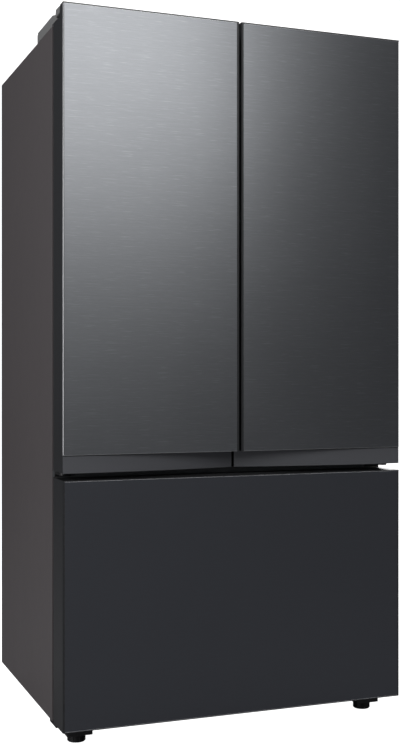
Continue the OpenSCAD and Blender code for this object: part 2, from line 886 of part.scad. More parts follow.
module finger_pocket(grow) {
    box([-260 - grow, front + 12 - grow, panel_bottom - 1 - grow], [-40 + grow, front + 36 + grow, panel_bottom + 26 + grow]);
}

module door_core_space() {
    difference() {
        union() {
            box([door_x0 + frame_t, front + pan_d, door_bottom + frame_t], [door_x1 - frame_t, front + door_t - 2, step_top - frame_t]);
            box([door_x0 + 5, front + skin_t, panel_bottom + frame_t], [door_x1 - panel_reveal - 5, front + pan_d + 1, step_top - frame_t]);
            box([-rim_out + 2, front + door_t - 3, rim_lo + 2], [-rim_in - 2, front + door_t + rim_depth - 2, rim_hi - 2]);
        }
        box([-rim_out + rim_w - 2, front + pocket_t - 2, rim_lo + rim_w - 2], [-rim_in - rim_w + 2, front + 300, rim_hi - rim_w + 2]);
        grip_space(frame_t);
        finger_pocket(frame_t);
        boss_top();
        boss_bottom();
    }
}

module door_skin(grow) {
    translate([0, 0, panel_bottom])
        linear_extrude(body_h - cap_t - panel_bottom)
            round_rect([door_x0 + grow, front + grow], [door_x1 - panel_reveal - grow, front + pan_d + 20], edge_r);
}

module door_panel() {
    color("#77797c")
        difference() {
            door_skin(0);
            door_skin(skin_t);
            box([-half_w - 1, front + pan_d, 0], [0, front + 60, body_h]);
        }
}

module door_frame() {
    color("#2a2b2d")
        difference() {
            union() {
                difference() {
                    union() {
                        box([door_x0, front, door_bottom], [door_x1, front + door_t - 2, step_top]);
                        box([door_x0, front, step_top - 1], [door_x1, front + cap_wall, body_h]);
                    }
                    difference() {
                        box([door_x0 + frame_t, front + 1, door_bottom + frame_t], [door_x1 - frame_t, front + door_t, step_top - frame_t]);
                        grip_space(frame_t);
                        finger_pocket(frame_t);
                    }
                }
                boss_top();
                boss_bottom();
            }
            intersection() {
                door_skin(-0.01);
                box([-half_w - 1, front - 1, 0], [0, front + pan_d, body_h]);
            }
            box([door_x0 - 1, front - 1, panel_bottom], [door_x0 + 1, front + pan_d, body_h - cap_t]);
            grip_space(0);
            finger_pocket(0);
            rod_z([-axis_x, axis_y, step_top - pin_reach - 1], hinge_pin_r + run_gap, pin_reach + 2);
            rod_z([-axis_x, axis_y, door_bottom - 1], hinge_pin_r + run_gap, pin_reach + 1);
        }
}

module door_core() {
    color("#e8dfb6")
        door_core_space();
}

module door_liner() {
    color("#f0f2f3")
        difference() {
            union() {
                box([door_x0 + 6, front + door_t - 2, door_bottom + 6], [door_x1 - 6, front + door_t, step_top - 6]);
                box([-rim_out, front + pocket_t - 2, rim_lo], [-rim_in, front + door_t + rim_depth, rim_hi]);
            }
            door_core_space();
            box([-rim_out - 1, front, rim_lo - 1], [-rim_out + rim_w - 2, front + door_t - 2, rim_hi + 1]);
            box([-rim_in - rim_w + 2, front, rim_lo - 1], [-rim_in + 1, front + door_t - 2, rim_hi + 1]);
            box([-rim_out - 1, front, rim_lo - 1], [-rim_in + 1, front + door_t - 2, rim_lo + rim_w - 2]);
            box([-rim_out - 1, front, rim_hi - rim_w + 2], [-rim_in + 1, front + door_t - 2, rim_hi + 1]);
            box([-rim_out + rim_w, front + pocket_t, rim_lo + rim_w], [-rim_in - rim_w, front + 300, rim_hi - rim_w]);
        }
}

module door_gasket() {
    color("#8a8c8e")
        gasket_ring(door_x0 + gasket_in, door_x1 - gasket_in + 1, door_bottom + 13, case_top - 12);
}

bin_x0 = -rim_out + rim_w + 2;
bin_x1 = -rim_in - rim_w - 2;

module door_bin(z, h) {
    y0 = front + pocket_t + 2;
    y1 = y0 + bin_depth;
    tub([bin_x0, y0, z], [bin_x1, y1, z + h - 20], 2.5);
    difference() {
        round_box([bin_x0 - 0.5, y0 + 20, z + h - 34], [bin_x1 + 0.5, y1 + 2, z + h], 4);
        box([bin_x0 + 2, y0, z + h - 40], [bin_x1 - 2, y1 - 0.5, z + h + 1]);
        box([bin_x0 - 2, y0, z], [bin_x1 + 2, y0 + 36, z + h + 1]);
    }
}

bin_h = 108;
bin_z = [rim_lo + rim_w + 14, rim_lo + rim_w + 340, rim_lo + rim_w + 620];
dairy_z = rim_lo + rim_w + 660;
dairy_h = 120;

module left_door_bins() {
    color([0.85, 0.92, 0.95, 0.5])
        for (z = bin_z)
            door_bin(z, bin_h);
}

module dairy_box() {
    y0 = front + pocket_t + 2;
    difference() {
        box([bin_x0, y0, dairy_z], [bin_x1, y0 + bin_depth - 18, dairy_z + dairy_h]);
        box([bin_x0 + 2.5, y0 + 2.5, dairy_z + 2.5], [bin_x1 - 2.5, y0 + bin_depth, dairy_z + dairy_h - 12]);
        box([bin_x0 + 2.5, y0 + 14, dairy_z + 30], [bin_x1 - 2.5, y0 + bin_depth, dairy_z + dairy_h + 1]);
        rod_x([bin_x0 - 1, dairy_pin_y, dairy_pin_z], 2 + run_gap, bin_x1 - bin_x0 + 2);
    }
}

dairy_pin_y = front + pocket_t + 24;
dairy_pin_z = dairy_z + dairy_h - 6;

module right_door_bins() {
    color([0.85, 0.92, 0.95, 0.5])
        mirror([1, 0, 0]) {
            door_bin(bin_z[0], bin_h);
            door_bin(bin_z[1], bin_h);
            dairy_box();
        }
}

module dairy_lid() {
    y1 = front + pocket_t + bin_depth - 12;
    color([0.85, 0.92, 0.95, 0.5])
        mirror([1, 0, 0]) {
            difference() {
                box([bin_x0 + 4, dairy_pin_y - 3, dairy_pin_z - 3], [bin_x1 - 4, y1, dairy_pin_z + 3]);
                box([bin_x0 + 8, dairy_pin_y + 4, dairy_pin_z - 4], [bin_x1 - 8, y1 - 3, dairy_pin_z + 0.5]);
            }
            box([bin_x0 + 4, y1 - 3, dairy_pin_z - 82], [bin_x1 - 4, y1, dairy_pin_z + 3]);
            rod_x([bin_x0, dairy_pin_y, dairy_pin_z], 2, bin_x1 - bin_x0);
        }
}

// ---- flip mullion ----
mul_r = 8;
mul_x = -34;
mul_y = case_front + 1 + mul_r;
mul_lo = rim_lo + 6;
mul_hi = rim_hi - 6;

module mullion_ears(z0, t) {
    difference() {
        union() {
            box([-rim_in - 1, mul_y - 7, z0], [mul_x, mul_y + 7, z0 + t]);
            rod_z([mul_x, mul_y, z0], 7, t);
        }
        rod_z([mul_x, mul_y, z0 - 1], 2.5 + run_gap, t + 2);
    }
}

module left_door_liner_all() {
    door_liner();
    color("#f0f2f3") {
        mullion_ears(mul_lo - 5, 4);
        mullion_ears(mul_hi + 1, 4);
    }
}

module flip_mullion() {
    color("#808386") {
        rod_z([mul_x, mul_y, mul_lo], mul_r, mul_hi - mul_lo);
        box([mul_x - mul_r, mul_y, mul_lo], [mul_x + mul_r, mul_y + 68, mul_hi]);
        rod_z([mul_x, mul_y, mul_lo - 5], 2.5, mul_hi - mul_lo + 10);
    }
}

module cover_screws() {
    color("#c5c8cb") {
        for (x = [-half_w + 14, 0, half_w - 14]) {
            rod_y([x, back - 12, bay_h - 9], 2, 11.5);
        }
        both()
            rod_z([-half_w + cover_w - 20, cover_back - 22, case_top], 2.2, body_h - cover_dip - 3 - case_top);
    }
}

module left_door_panel() { door_panel(); }
module left_door_frame() { door_frame(); }
module left_door_core() { door_core(); }
module left_door_liner() { left_door_liner_all(); }
module left_door_gasket() { door_gasket(); }
module right_door_panel() { mirror([1, 0, 0]) door_panel(); }
module right_door_frame() { mirror([1, 0, 0]) door_frame(); }
module right_door_core() { mirror([1, 0, 0]) door_core(); }
module right_door_liner() { mirror([1, 0, 0]) door_liner(); }
module right_door_gasket() { mirror([1, 0, 0]) door_gasket(); }

outer_case();
back_panel();
base_frame();
case_insulation();
fridge_liner();
freezer_liner();
centre_rail();
machine_cover();
hinge_covers();
top_hinges();
centre_hinges();
leg_brackets();
left_leveling_leg();
right_leveling_leg();
left_rear_roller();
right_rear_roller();
compressor();
condenser();
condenser_fan();
drain_pan();
power_inlet();
water_valve();
evaporator();
evaporator_cover();
evaporator_fan();
air_tower();
lamp_covers();
control_panel();
shelf_frames();
shelf_glass();
left_crisper();
right_crisper();
snack_drawer();
ice_maker();
ice_tray();
fixed_rails();
middle_rails();
basket_frame();
freezer_basket();
freezer_tray();
freezer_panel();
freezer_frame();
freezer_core();
freezer_door_liner();
freezer_gasket();
left_door_panel();
left_door_frame();
left_door_core();
left_door_liner();
left_door_gasket();
left_door_bins();
right_door_panel();
right_door_frame();
right_door_core();
right_door_liner();
right_door_gasket();
right_door_bins();
dairy_lid();
flip_mullion();
cover_screws();
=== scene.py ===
import math

import bmesh
import bpy
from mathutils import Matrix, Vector

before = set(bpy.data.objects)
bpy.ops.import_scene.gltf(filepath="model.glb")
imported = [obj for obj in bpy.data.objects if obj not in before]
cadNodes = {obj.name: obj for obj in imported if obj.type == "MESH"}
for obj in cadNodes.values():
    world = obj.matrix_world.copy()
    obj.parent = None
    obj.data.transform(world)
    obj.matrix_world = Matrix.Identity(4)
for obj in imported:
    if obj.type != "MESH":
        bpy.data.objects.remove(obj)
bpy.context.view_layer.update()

print("frame loaded:", len(cadNodes), "nodes")

# everything below is in metres, doors facing -Y, floor at z = 0

cameraSettings = {
    "place": (-1.132, -3.038, 0.9035),
    "turn": (90.0, 0.0, -20.96),   # degrees
    "lens": 56.2,
    "sensor": 36.0,
}


def makeCamera(s):
    data = bpy.data.cameras.new("camera")
    data.lens = s["lens"]
    data.sensor_width = s["sensor"]
    data.clip_end = 60
    cam = bpy.data.objects.new("camera", data)
    cam.location = s["place"]
    cam.rotation_euler = [math.radians(a) for a in s["turn"]]
    bpy.context.scene.collection.objects.link(cam)
    bpy.context.scene.camera = cam


makeCamera(cameraSettings)
bpy.context.scene.view_settings.view_transform = "Standard"   # plain studio tones, white stays white


def addNode(tree, kind, **values):
    node = tree.nodes.new(kind)
    for key, value in values.items():
        if key in node.inputs:
            node.inputs[key].default_value = value
        else:
            setattr(node, key, value)
    return node


def mathNode(tree, operation, a, b=0.0, clamp=False):
    node = tree.nodes.new("ShaderNodeMath")
    node.operation = operation
    node.use_clamp = clamp
    for socket, value in zip(node.inputs, (a, b)):
        if isinstance(value, bpy.types.NodeSocket):
            tree.links.new(value, socket)
        else:
            socket.default_value = value
    return node.outputs[0]


def mapRange(tree, value, low, high, newLow, newHigh):
    node = tree.nodes.new("ShaderNodeMapRange")
    for socket, item in zip(node.inputs, (value, low, high, newLow, newHigh)):
        if isinstance(item, bpy.types.NodeSocket):
            tree.links.new(item, socket)
        else:
            socket.default_value = item
    return node.outputs[0]


def mixColor(tree, factor, a, b, blend="MIX"):
    node = tree.nodes.new("ShaderNodeMix")
    node.data_type = "RGBA"
    node.blend_type = blend
    for index, item in ((0, factor), (6, a), (7, b)):
        socket = node.inputs[index]
        if isinstance(item, bpy.types.NodeSocket):
            tree.links.new(item, socket)
        else:
            socket.default_value = item
    return node.outputs[2]


def noiseNode(tree, vector, scale, detail=3.0, roughness=0.55):
    node = addNode(tree, "ShaderNodeTexNoise", Scale=scale, Detail=detail, Roughness=roughness)
    tree.links.new(vector, node.inputs["Vector"])
    return node.outputs["Fac"]


def startGroup(name, inputs, outputs):
    group = bpy.data.node_groups.new(name, "ShaderNodeTree")
    for label, value in inputs.items():
        socket = group.interface.new_socket(name=label, in_out="INPUT", socket_type="NodeSocketFloat")
        socket.default_value = value
    for label in outputs:
        group.interface.new_socket(name=label, in_out="OUTPUT", socket_type="NodeSocketFloat")
    return group, group.nodes.new("NodeGroupInput"), group.nodes.new("NodeGroupOutput")


def scaledPlace(tree, x, y, z):
    place = tree.nodes.new("ShaderNodeTexCoord")
    mapping = tree.nodes.new("ShaderNodeMapping")
    mapping.inputs["Scale"].default_value = (x, y, z)
    tree.links.new(place.outputs["Object"], mapping.inputs["Vector"])
    return mapping.outputs["Vector"]


brushing = {   # each stretch is how often the noise repeats in a metre along X, Y and Z
    "longStretch": (9, 9, 900),
    "longShare": 0.45,
    "shortStretch": (55, 55, 2600),
    "shortShare": 0.55,
    "fleckStretch": (22, 22, 420),
    "fleckFrom": 0.58,
    "fleckTo": 0.72,
    "fleckLift": 0.45,
    "cloudStretch": (1.3, 1.3, 2.1),
    "cloudDepth": 0.12,
}


def buildBrushedGrain(s):
    # fine streaks along X, as a brushing belt leaves them
    group, into, out = startGroup("brushedGrain", {"Streaks": 1.0}, ("Shade", "Height"))
    long = noiseNode(group, scaledPlace(group, *s["longStretch"]), 1.0, 2.0, 0.6)
    short = noiseNode(group, scaledPlace(group, *s["shortStretch"]), 1.0, 2.0, 0.7)
    cloud = noiseNode(group, scaledPlace(group, *s["cloudStretch"]), 1.0, 2.0, 0.5)
    spot = noiseNode(group, scaledPlace(group, *s["fleckStretch"]), 1.0, 2.0, 0.5)
    fleck = mapRange(group, spot, s["fleckFrom"], s["fleckTo"], 0.0, s["fleckLift"])
    longPart = mathNode(group, "MULTIPLY", long, s["longShare"])
    shortPart = mathNode(group, "MULTIPLY", short, s["shortShare"])
    streak = mathNode(group, "ADD", mathNode(group, "ADD", longPart, shortPart), fleck)
    centred = mathNode(group, "MULTIPLY", mathNode(group, "SUBTRACT", streak, 0.5), into.outputs["Streaks"])
    slow = mathNode(group, "MULTIPLY", mathNode(group, "SUBTRACT", cloud, 0.5), s["cloudDepth"])
    shade = mathNode(group, "ADD", mathNode(group, "ADD", centred, slow), 1.0)
    group.links.new(shade, out.inputs["Shade"])
    group.links.new(streak, out.inputs["Height"])
    return group


paintSkin = {"cloudScale": 2.4, "speckle": 0.1}


def buildPaintSkin(s):
    # the low orange peel of sprayed or powder paint, with a slow drift in tone
    group, into, out = startGroup("paintSkin", {"Grain": 260.0, "Drift": 0.1}, ("Shade", "Height"))
    place = scaledPlace(group, 1, 1, 1)
    peel = addNode(group, "ShaderNodeTexNoise", Detail=2.0, Roughness=0.5)
    group.links.new(place, peel.inputs["Vector"])
    group.links.new(into.outputs["Grain"], peel.inputs["Scale"])
    cloud = noiseNode(group, place, s["cloudScale"], 3.0, 0.6)
    drift = mathNode(group, "MULTIPLY", mathNode(group, "SUBTRACT", cloud, 0.5), into.outputs["Drift"])
    centred = mathNode(group, "SUBTRACT", peel.outputs["Fac"], 0.5)
    speckle = mathNode(group, "MULTIPLY", centred, s["speckle"])
    shade = mathNode(group, "ADD", mathNode(group, "ADD", drift, speckle), 1.0)
    group.links.new(shade, out.inputs["Shade"])
    group.links.new(peel.outputs["Fac"], out.inputs["Height"])
    return group


mouldCloudScale = 5.0


def buildMouldGrain():
    # spark-eroded mould texture of moulded plastic
    group, into, out = startGroup("mouldGrain", {"Grain": 900.0, "Mottle": 0.08}, ("Shade", "Height"))
    place = scaledPlace(group, 1, 1, 1)
    cell = addNode(group, "ShaderNodeTexVoronoi", feature="F1")
    group.links.new(place, cell.inputs["Vector"])
    group.links.new(into.outputs["Grain"], cell.inputs["Scale"])
    cloud = noiseNode(group, place, mouldCloudScale, 4.0, 0.6)
    mottle = mathNode(group, "MULTIPLY", mathNode(group, "SUBTRACT", cloud, 0.5), into.outputs["Mottle"])
    group.links.new(mathNode(group, "ADD", mottle, 1.0), out.inputs["Shade"])
    group.links.new(cell.outputs["Distance"], out.inputs["Height"])
    return group


edgeWearing = {
    "radius": 0.0016,
    "flatAt": 0.995,      # how closely rounded and flat normals agree away from an edge
    "wornAt": 0.8,
    "breakScale": 90.0,   # size of the gaps in the wear
    "breakFrom": 0.42,
    "breakTo": 0.62,
    "leastWear": 0.2,
}


def buildEdgeWear(s):
    # lightens handled edges: the rounded normal leans away from the flat one there
    group, into, out = startGroup("edgeWear", {"Amount": 0.5}, ("Mask",))
    rounded = addNode(group, "ShaderNodeBevel", samples=4)
    rounded.inputs["Radius"].default_value = s["radius"]
    flat = group.nodes.new("ShaderNodeNewGeometry")
    dot = addNode(group, "ShaderNodeVectorMath", operation="DOT_PRODUCT")
    group.links.new(rounded.outputs["Normal"], dot.inputs[0])
    group.links.new(flat.outputs["Normal"], dot.inputs[1])
    lean = mapRange(group, dot.outputs["Value"], s["flatAt"], s["wornAt"], 0.0, 1.0)
    gaps = noiseNode(group, scaledPlace(group, 1, 1, 1), s["breakScale"], 4.0, 0.7)
    broken = mapRange(group, gaps, s["breakFrom"], s["breakTo"], s["leastWear"], 1.0)
    edges = mathNode(group, "MULTIPLY", lean, broken)
    worn = mathNode(group, "MULTIPLY", edges, into.outputs["Amount"], True)
    group.links.new(worn, out.inputs["Mask"])
    return group


handSmears = {"smearScale": 2.2, "smearShare": 0.7, "fineScale": 38.0, "fineShare": 0.3}


def buildHandMarks(s):
    # faint smears that change how the surface shines
    group, into, out = startGroup("handMarks", {"Amount": 0.1}, ("Rough",))
    smear = noiseNode(group, scaledPlace(group, 3.0, 3.0, 1.6), s["smearScale"], 5.0, 0.65)
    fine = noiseNode(group, scaledPlace(group, 1, 1, 1), s["fineScale"], 3.0, 0.6)
    smearPart = mathNode(group, "MULTIPLY", smear, s["smearShare"])
    finePart = mathNode(group, "MULTIPLY", fine, s["fineShare"])
    centred = mathNode(group, "SUBTRACT", mathNode(group, "ADD", smearPart, finePart), 0.5)
    rough = mathNode(group, "MULTIPLY", centred, into.outputs["Amount"])
    group.links.new(rough, out.inputs["Rough"])
    return group


edgeHighlightSpan = {   # how squarely a face looks forward, from 0 to 1, where the painted highlight line starts and ends
    "radius": 0.0016,
    "frontFrom": 0.985,
    "frontTo": 0.93,
    "sideFrom": 0.1,
    "sideTo": 0.35,
}


def buildPaintedEdgeHighlight(s):
    # a painted highlight: the thin bright line where a sheet turns from its front to its side
    group, into, out = startGroup("paintedEdgeHighlight", {"Amount": 1.0}, ("Mask",))
    rounded = addNode(group, "ShaderNodeBevel", samples=4)
    rounded.inputs["Radius"].default_value = s["radius"]
    parts = group.nodes.new("ShaderNodeSeparateXYZ")
    group.links.new(rounded.outputs["Normal"], parts.inputs["Vector"])
    facing = mathNode(group, "ABSOLUTE", parts.outputs["Y"])
    leaving = mapRange(group, facing, s["frontFrom"], s["frontTo"], 0.0, 1.0)
    arriving = mapRange(group, facing, s["sideFrom"], s["sideTo"], 0.0, 1.0)
    turning = mathNode(group, "MULTIPLY", leaving, arriving)
    line = mathNode(group, "MULTIPLY", turning, into.outputs["Amount"], True)
    group.links.new(line, out.inputs["Mask"])
    return group


frontFacing = -0.6   # faces turned further than this towards -Y count as front faces


def buildHeightBand():
    # front faces between two heights
    group, into, out = startGroup("heightBand", {"Low": 0.0, "High": 1.0}, ("Mask",))
    place = group.nodes.new("ShaderNodeTexCoord")
    at = group.nodes.new("ShaderNodeSeparateXYZ")
    group.links.new(place.outputs["Object"], at.inputs["Vector"])
    turned = group.nodes.new("ShaderNodeSeparateXYZ")
    group.links.new(place.outputs["Normal"], turned.inputs["Vector"])
    above = mathNode(group, "GREATER_THAN", at.outputs["Z"], into.outputs["Low"])
    below = mathNode(group, "LESS_THAN", at.outputs["Z"], into.outputs["High"])
    front = mathNode(group, "LESS_THAN", turned.outputs["Y"], frontFacing)
    inside = mathNode(group, "MULTIPLY", mathNode(group, "MULTIPLY", above, below), front)
    group.links.new(inside, out.inputs["Mask"])
    return group


sharedEffects = {
    "paintedEdgeHighlight": buildPaintedEdgeHighlight(edgeHighlightSpan),
    "heightBand": buildHeightBand(),
    "brushedGrain": buildBrushedGrain(brushing),
    "paintSkin": buildPaintSkin(paintSkin),
    "mouldGrain": buildMouldGrain(),
    "edgeWear": buildEdgeWear(edgeWearing),
    "handMarks": buildHandMarks(handSmears),
}
print("shared effects built")


def useEffect(tree, name, **values):
    node = tree.nodes.new("ShaderNodeGroup")
    node.node_tree = sharedEffects[name]
    for label, value in values.items():
        node.inputs[label].default_value = value
    return node


def linear(rgb):
    # screen values 0-255 to the linear numbers that shaders use
    out = []
    for c in rgb:
        c = c / 255
        out.append(c / 12.92 if c <= 0.04045 else ((c + 0.055) / 1.055) ** 2.4)
    return tuple(out) + (1.0,)


def makeFinish(name, s):
    # grain tints the colour and lifts the surface, smears drive the roughness, edges wear
    mat = bpy.data.materials.new(name)
    mat.use_nodes = True
    tree = mat.node_tree
    shader = tree.nodes["Principled BSDF"]
    grain = useEffect(tree, s["grain"], **s.get("grainValues", {}))
    base = linear(s["color"])
    shade = tree.nodes.new("ShaderNodeCombineColor")
    for channel in shade.inputs[:3]:
        tree.links.new(grain.outputs["Shade"], channel)
    tinted = mixColor(tree, 1.0, base, shade.outputs["Color"], "MULTIPLY")
    if s.get("wear"):
        wear = useEffect(tree, "edgeWear", Amount=s["wear"])
        tinted = mixColor(tree, wear.outputs["Mask"], tinted, linear(s.get("wearColor", (120, 120, 122))))
    # the grip strip's own lighter colour; the thin strip of dark trim colour left between its top and the
    # panel is painted shadow
    if s.get("band"):
        band = useEffect(tree, "heightBand", Low=s["band"][0], High=s["band"][1])
        tinted = mixColor(tree, band.outputs["Mask"], tinted, linear(s["bandColor"]))
    # painted highlight: a near-white line mixed into the colour along the folded edges of sheet panels
    if s.get("edgeHighlight"):
        edgeHighlight = useEffect(tree, "paintedEdgeHighlight", Amount=s["edgeHighlight"])
        tinted = mixColor(tree, edgeHighlight.outputs["Mask"], tinted, linear(s["edgeHighlightColor"]))
    tree.links.new(tinted, shader.inputs["Base Color"])
    marks = useEffect(tree, "handMarks", Amount=s.get("smear", 0.12))
    rough = mathNode(tree, "ADD", marks.outputs["Rough"], s["rough"], True)
    tree.links.new(rough, shader.inputs["Roughness"])
    bump = addNode(tree, "ShaderNodeBump", Strength=s.get("bump", 0.15), Distance=s.get("bumpDepth", 0.0002))
    tree.links.new(grain.outputs["Height"], bump.inputs["Height"])
    tree.links.new(bump.outputs["Normal"], shader.inputs["Normal"])
    shader.inputs["Metallic"].default_value = s.get("metal", 0.0)
    if s.get("edgeHighlight"):
        # the painted highlight line loses some or all of its metal shine so its bright colour shows directly
        highlightMatt = mathNode(tree, "MULTIPLY", edgeHighlight.outputs["Mask"], s["edgeHighlightMatt"])
        metalLeft = mathNode(tree, "MULTIPLY", mathNode(tree, "SUBTRACT", 1.0, highlightMatt), s["metal"])
        tree.links.new(metalLeft, shader.inputs["Metallic"])
    shader.inputs["Specular IOR Level"].default_value = s.get("specular", 0.5)
    shader.inputs["Coat Weight"].default_value = s.get("coat", 0.0)
    shader.inputs["Coat Roughness"].default_value = s.get("coatRough", 0.2)
    shader.inputs["Anisotropic"].default_value = s.get("anisotropic", 0.0)
    shader.inputs["Anisotropic Rotation"].default_value = s.get("grainTurn", 0.0)
    shader.inputs["Transmission Weight"].default_value = s.get("clear", 0.0)
    shader.inputs["Alpha"].default_value = s.get("alpha", 1.0)
    if s.get("glow"):
        shader.inputs["Emission Color"].default_value = base
        shader.inputs["Emission Strength"].default_value = s["glow"]
    return mat


finishes = {   # colours as a screen shows them, 0 to 255; bands and depths in metres
    "doorSteel": {
        "color": (141, 143, 146), "grain": "brushedGrain", "grainValues": {"Streaks": 0.5},
        "rough": 0.32, "metal": 1.0, "smear": 0.05, "bump": 0.12, "bumpDepth": 0.0001,
        # the near-white fold colour is a painted highlight along the door panel's edges
        "anisotropic": 0.5, "grainTurn": 0.25, "edgeHighlight": 1.0, "edgeHighlightColor": (245, 246, 248),
        "edgeHighlightMatt": 0.3,
    },
    "drawerSteel": {
        "color": (80, 82, 88), "grain": "brushedGrain", "grainValues": {"Streaks": 0.12},
        "rough": 0.42, "metal": 0.6, "smear": 0.05, "bump": 0.05, "bumpDepth": 0.0001, "edgeHighlight": 1.0,
        # near-white, fully matt fold colour: a painted highlight along the drawer front's edges
        "edgeHighlightColor": (250, 251, 254), "edgeHighlightMatt": 1.0,
    },
    "doorTrim": {
        "color": (37, 38, 40), "grain": "paintSkin", "rough": 0.45, "wear": 0.15, "bump": 0.1,
        # the band is the grip strip's own lighter colour; its top stops just short of the panel's bottom
        # edge, so the dark trim colour left there is a painted shadow line under the panel
        "band": (0.66, 0.7035), "bandColor": (88, 89, 93),
    },
    "casePaint": {
        "color": (86, 81, 82), "grain": "paintSkin", "grainValues": {"Grain": 420.0, "Drift": 0.08},
        "rough": 0.5, "wear": 0.2, "bump": 0.2,
    },
    "galvanised": {
        "color": (150, 152, 154), "grain": "paintSkin",
        "grainValues": {"Grain": 60.0, "Drift": 0.3}, "rough": 0.45, "metal": 0.8, "wear": 0.2,
        "bump": 0.1,
    },
    "blackSteel": {
        "color": (26, 26, 28), "grain": "paintSkin", "grainValues": {"Grain": 500.0, "Drift": 0.1},
        "rough": 0.42, "wear": 0.35, "wearColor": (110, 110, 112), "bump": 0.2,
    },
    "foam": {
        "color": (228, 214, 160), "grain": "mouldGrain",
        "grainValues": {"Grain": 500.0, "Mottle": 0.3}, "rough": 0.9, "bump": 0.6,
        "bumpDepth": 0.0006,
    },
    "whiteLiner": {
        "color": (236, 238, 239), "grain": "mouldGrain",
        "grainValues": {"Grain": 1400.0, "Mottle": 0.03}, "rough": 0.32, "smear": 0.15,
        "bump": 0.06, "bumpDepth": 0.0001, "wear": 0.1, "wearColor": (250, 250, 250),
    },
    "railPaint": {
        "color": (92, 94, 97), "grain": "paintSkin", "rough": 0.4, "wear": 0.2, "bump": 0.1,
    },
    "coverPlastic": {
        "color": (122, 122, 122), "grain": "mouldGrain",
        "grainValues": {"Grain": 1100.0, "Mottle": 0.1}, "rough": 0.55, "bump": 0.25, "wear": 0.12,
        "wearColor": (150, 150, 150),
    },
    "zincSteel": {
        "color": (176, 179, 183), "grain": "brushedGrain", "grainValues": {"Streaks": 0.3},
        "rough": 0.33, "metal": 1.0, "bump": 0.1, "wear": 0.2, "wearColor": (215, 216, 218),
    },
    "blackPlastic": {
        "color": (22, 22, 24), "grain": "mouldGrain",
        "grainValues": {"Grain": 900.0, "Mottle": 0.1}, "rough": 0.5, "bump": 0.25, "wear": 0.2,
        "wearColor": (60, 60, 62),
    },
    "aluminiumFin": {
        "color": (205, 208, 212), "grain": "brushedGrain", "grainValues": {"Streaks": 0.2},
        "rough": 0.3, "metal": 1.0, "bump": 0.08,
    },
    "lampLens": {
        "color": (250, 252, 255), "grain": "mouldGrain",
        "grainValues": {"Grain": 700.0, "Mottle": 0.02}, "rough": 0.35, "bump": 0.1, "glow": 2.5,
    },
    "panelPlastic": {
        "color": (196, 201, 206), "grain": "mouldGrain",
        "grainValues": {"Grain": 900.0, "Mottle": 0.04}, "rough": 0.25, "coat": 0.4, "bump": 0.05,
    },
    "shelfGlass": {
        "color": (222, 240, 236), "grain": "mouldGrain",
        "grainValues": {"Grain": 40.0, "Mottle": 0.02}, "rough": 0.05, "smear": 0.03, "bump": 0.01,
        "clear": 0.9, "alpha": 0.45,
    },
    "clearPlastic": {
        "color": (226, 238, 243), "grain": "mouldGrain",
        "grainValues": {"Grain": 60.0, "Mottle": 0.03}, "rough": 0.12, "smear": 0.06, "bump": 0.03,
        "clear": 0.7, "alpha": 0.5,
    },
    # near-black: black rubber, darkened further as painted shade in the gap between door and case
    "gasketBlackAndGapShade": {
        "color": (18, 18, 20), "grain": "mouldGrain",
        "grainValues": {"Grain": 1300.0, "Mottle": 0.1}, "rough": 0.7, "bump": 0.2,
    },
    "iceTrayPlastic": {
        "color": (214, 220, 226), "grain": "mouldGrain",
        "grainValues": {"Grain": 1000.0, "Mottle": 0.05}, "rough": 0.35, "bump": 0.1,
    },
}

nodesOfFinish = {
    "casePaint": ("outer_case",),
    "galvanised": ("back_panel", "machine_cover"),
    "blackSteel": ("base_frame", "centre_hinges", "leg_brackets", "compressor", "condenser"),
    "foam": ("case_insulation", "freezer_core"),
    "whiteLiner": (
        "fridge_liner", "freezer_liner", "evaporator_cover", "air_tower", "shelf_frames",
        "ice_maker", "freezer_basket", "freezer_tray", "freezer_door_liner",
    ),
    "railPaint": ("centre_rail", "flip_mullion"),
    "coverPlastic": ("hinge_covers",),
    "zincSteel": ("top_hinges", "fixed_rails", "middle_rails", "basket_frame", "cover_screws"),
    "blackPlastic": (
        "left_leveling_leg", "right_leveling_leg", "left_rear_roller", "right_rear_roller",
        "condenser_fan", "drain_pan", "power_inlet", "evaporator_fan",
    ),
    "iceTrayPlastic": ("water_valve", "ice_tray"),
    "aluminiumFin": ("evaporator",),
    "lampLens": ("lamp_covers",),
    "panelPlastic": ("control_panel",),
    "shelfGlass": ("shelf_glass",),
    "clearPlastic": ("left_crisper", "right_crisper", "snack_drawer", "dairy_lid"),
    "drawerSteel": ("freezer_panel",),
    "doorTrim": ("freezer_frame",),
    "gasketBlackAndGapShade": ("freezer_gasket",),
}
nodeFinish = {node: finish for finish, nodes in nodesOfFinish.items() for node in nodes}
doorFinish = {
    "panel": "doorSteel", "frame": "doorTrim", "core": "foam",
    "liner": "whiteLiner", "gasket": "gasketBlackAndGapShade", "bins": "clearPlastic",
}
for side in ("left", "right"):
    for part, finish in doorFinish.items():
        nodeFinish[side + "_door_" + part] = finish

madeFinishes = {name: makeFinish(name, s) for name, s in finishes.items()}
for node, finish in nodeFinish.items():
    slots = cadNodes[node].data.materials
    slots.clear()
    slots.append(madeFinishes[finish])
print("finishes given to", len(nodeFinish), "nodes")

